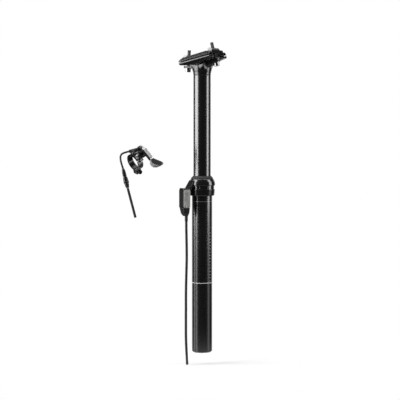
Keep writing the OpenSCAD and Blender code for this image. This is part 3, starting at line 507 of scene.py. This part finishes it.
# Thumb pad: black plastic moulded over the lever's end. It narrows to a tip, and a painted highlight makes
# the rounded rim along its lower edge paler than the pad itself.
PAD_RIM_HIGHLIGHT = (0.24, 0.24, 0.24)
PAD_HIGHLIGHT_START = 0.55
PAD_HIGHLIGHT_END = 0.80
PAD_HIGHLIGHT_RISE = 0.22
PAD_TAPER = 0.75
PAD_TAPER_START = -0.2
PAD_TIP_RISE = 0.6
pad_mesh = frame["nodes"]["thumb_pad"].data.copy()
pad_corners = np.array([corner.co for corner in pad_mesh.vertices])
pad_middle = (pad_corners.min(axis=0) + pad_corners.max(axis=0)) / 2
pad_ways = np.linalg.svd(pad_corners - pad_middle, full_matrices=False)[2][:2]
pad_ways[0] *= np.sign(pad_ways[0] @ (pad_middle - np.array(pivot["pos_m"])))
pad_ways[1] *= np.sign(pad_ways[1][2])
pad_reach = np.abs((pad_corners - pad_middle) @ pad_ways.T).max(axis=0)
for corner in pad_mesh.vertices:
    along, across = pad_ways @ (np.array(corner.co) - pad_middle) / pad_reach
    taper = PAD_TAPER * (max(along - PAD_TAPER_START, 0) / (1 - PAD_TAPER_START)) ** 2
    corner.co -= Vector(pad_ways[1] * pad_reach[1] * taper * (across - PAD_TIP_RISE))
pad = Finish("pad_black")
pad_grain = pad.noise(scale=3200, detail=2)
pad_offset = pad.vectors("SUBTRACT", pad.place(), Vector(pad_middle), out="Vector")
pad_along, pad_across = (pad.vectors("DOT_PRODUCT", pad_offset, Vector(way / reach))
                         for way, reach in zip(pad_ways, pad_reach))
# Painted highlight: a paler ring round the pad, shifted towards its lower edge.
pad_highlight_rise = pad_across - PAD_HIGHLIGHT_RISE
pad_rim_highlight = pad.smooth(pad_along * pad_along + pad_highlight_rise * pad_highlight_rise, PAD_HIGHLIGHT_START, PAD_HIGHLIGHT_END)
pad_body = pad.colours(pad.noise(scale=150), PLASTIC_BLACK, PLASTIC_WORN)
pad.set(
    Base_Color=pad.colours(pad_rim_highlight, pad_body, PAD_RIM_HIGHLIGHT),
    Roughness=0.16 + 0.12 * pad_grain,
    IOR=1.45,
    Specular_IOR_Level=0.12)
pad.bump(pad_grain, depth=0.00002, strength=0.2, edge=0.0011)
stand_in("thumb_pad", "lever", pad_mesh, pad, sharp_degrees=40)

# Adjuster and remote's cable: a bent guide tube leads from the bracket into the in-line adjuster, with its
# knurled aluminium knob. A short length of the same cable housing leaves its foot and is cut off square.
STUB_TURN = math.radians(30)
STUB_PATH_MM = ((115.7, 11.6), (113.6, 3.5), (111.4, -5), (109.2, -13.5), (107, -22), (104.8, -30.5),
                (103.8, -34.4))
STUB_PARTS = 3
dress(housing, "noodle_tube", "adjuster_ferrule")
dress(remote_black, "adjuster_sleeve", "adjuster_core", "adjuster_knob")
stub_knots = [at_turn(STUB_TURN, out, height) * MM for out, height in STUB_PATH_MM]
stub_points = [start.lerp(end, part / STUB_PARTS) for start, end in zip(stub_knots, stub_knots[1:])
               for part in range(STUB_PARTS)] + stub_knots[-1:]
stub = cord_tube("remote_cable_run", stub_points)
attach(stub, "lower")
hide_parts("remote_cable")

# Camera: it stands to the rear left of the post, level with the middle of the bare post and tipped slightly
# down, on a long lens.
CAMERA_TURN = math.radians(120)
CAMERA_DISTANCE = 2.1
CAMERA_HEIGHT = 0.091
CAMERA_DIP = math.radians(2.67)
CAMERA_ASIDE = 0.0032
CAMERA_LENS = 121.5
SENSOR_WIDTH = 36
UP = Vector((0, 0, 1))


def aim(piece, place, way):
    piece.location = place
    piece.rotation_mode = "QUATERNION"
    piece.rotation_quaternion = way.to_track_quat("-Z", "Y")


to_camera = at_turn(CAMERA_TURN, 1, 0)
photo_left = to_camera.cross(UP)
camera_data = bpy.data.cameras.new("camera")
camera_data.lens = CAMERA_LENS
camera_data.sensor_width = SENSOR_WIDTH
scene.camera = add_object("camera", camera_data)
aim(scene.camera, to_camera * CAMERA_DISTANCE + photo_left * CAMERA_ASIDE + UP * CAMERA_HEIGHT,
    -to_camera * math.cos(CAMERA_DIP) - UP * math.sin(CAMERA_DIP))
scene.view_settings.view_transform = "Standard"

# Studio: a tall soft box stands left and right of the post, each with a dim one under it, and a broad one
# hangs over it. The room is white behind the object and dark behind the camera, where black metal mirrors it.
BOX_REACH = 1.1
SIDE_BOXES = dict(
    left_box=dict(turn=-80, wide=0.95, low=-0.08, high=1.60, power=31),
    left_fill=dict(turn=-80, wide=0.95, low=-1.10, high=-0.08, power=3.6),
    right_box=dict(turn=80, wide=0.50, low=-0.08, high=1.60, power=12.5),
    right_fill=dict(turn=80, wide=0.50, low=-1.10, high=-0.08, power=0.9))
TOP_BOX = dict(wide=1.2, height=1.5, power=9)
ROOM_WHITE = (1, 1, 1)
ROOM_DIM = (0.30, 0.30, 0.30)
MIRRORED_FRONT = (0.012, 0.012, 0.013)
MIRRORED_BACK = (0.85, 0.85, 0.85)
SWEEP_START = 0.62
SWEEP_END = 0.92


def soft_box(name, place, target, wide, tall, power):
    light = bpy.data.lights.new(name, "AREA")
    light.shape = "RECTANGLE"
    light.size = wide
    light.size_y = tall
    light.energy = power
    aim(add_object(name, light), place, target - place)


for name, box in SIDE_BOXES.items():
    middle = UP * (box["low"] + box["high"]) / 2
    box_place = at_turn(CAMERA_TURN + math.radians(box["turn"]), BOX_REACH, middle.z)
    soft_box(name, box_place, middle, box["wide"], box["high"] - box["low"], box["power"])
soft_box("top_box", UP * TOP_BOX["height"], Vector(), TOP_BOX["wide"], TOP_BOX["wide"], TOP_BOX["power"])
scene.world = bpy.data.worlds.new("studio")
scene.world.use_nodes = True
room = Tree(scene.world.node_tree)
look = room.node("ShaderNodeTexCoord", out="Generated")
seen_ray, glossy_ray, clear_ray = (room.node("ShaderNodeLightPath", out=kind) for kind in (
    "Is Camera Ray", "Is Glossy Ray", "Is Transmission Ray"))
sweep = room.smooth(room.vectors("DOT_PRODUCT", look, -to_camera), SWEEP_START, SWEEP_END)
mirrored = room.colours(sweep, MIRRORED_FRONT, MIRRORED_BACK)
lit = room.colours(glossy_ray.or_more(clear_ray), ROOM_DIM, mirrored)
backdrop = room.node("ShaderNodeBackground", sockets={"Color": room.colours(seen_ray, lit, ROOM_WHITE)})
room.node("ShaderNodeOutputWorld", sockets={"Surface": backdrop})

# Floor: a white board just under the cable's end. It fades out towards its rim, into the white behind, and
# keeps the object's soft shadow.
FLOOR_GAP = 0.001
FLOOR_R = 0.30
FLOOR_SOLID_R = 0.02
FLOOR_CLEAR_R = 0.27
FLOOR_SOLID = 0.6
FLOOR_WHITE = (0.93, 0.93, 0.93)
floor_z = cad_low.z - FLOOR_GAP
floor_mesh = bpy.data.meshes.new("floor")
floor_mesh.from_pydata([(x * FLOOR_R, y * FLOOR_R, floor_z) for x, y in ((-1, -1), (1, -1), (1, 1), (-1, 1))],
                       [], [(0, 1, 2, 3)])
add_object("floor", floor_mesh)
board = Finish("floor_white")
board.set(Base_Color=(*FLOOR_WHITE, 1), Roughness=0.7)
floor_x, floor_y, _ = board.axes(board.place())
from_middle = (floor_x * floor_x + floor_y * floor_y) ** 0.5
solid = board.smooth(from_middle, FLOOR_SOLID_R, FLOOR_CLEAR_R, first=FLOOR_SOLID, last=0.0)
clear = board.node("ShaderNodeBsdfTransparent")
fade = board.node("ShaderNodeMixShader", sockets={0: solid, 1: clear, 2: board.shader})
board.put(board.output.node.inputs["Surface"], fade)
floor_mesh.materials.append(board.material)
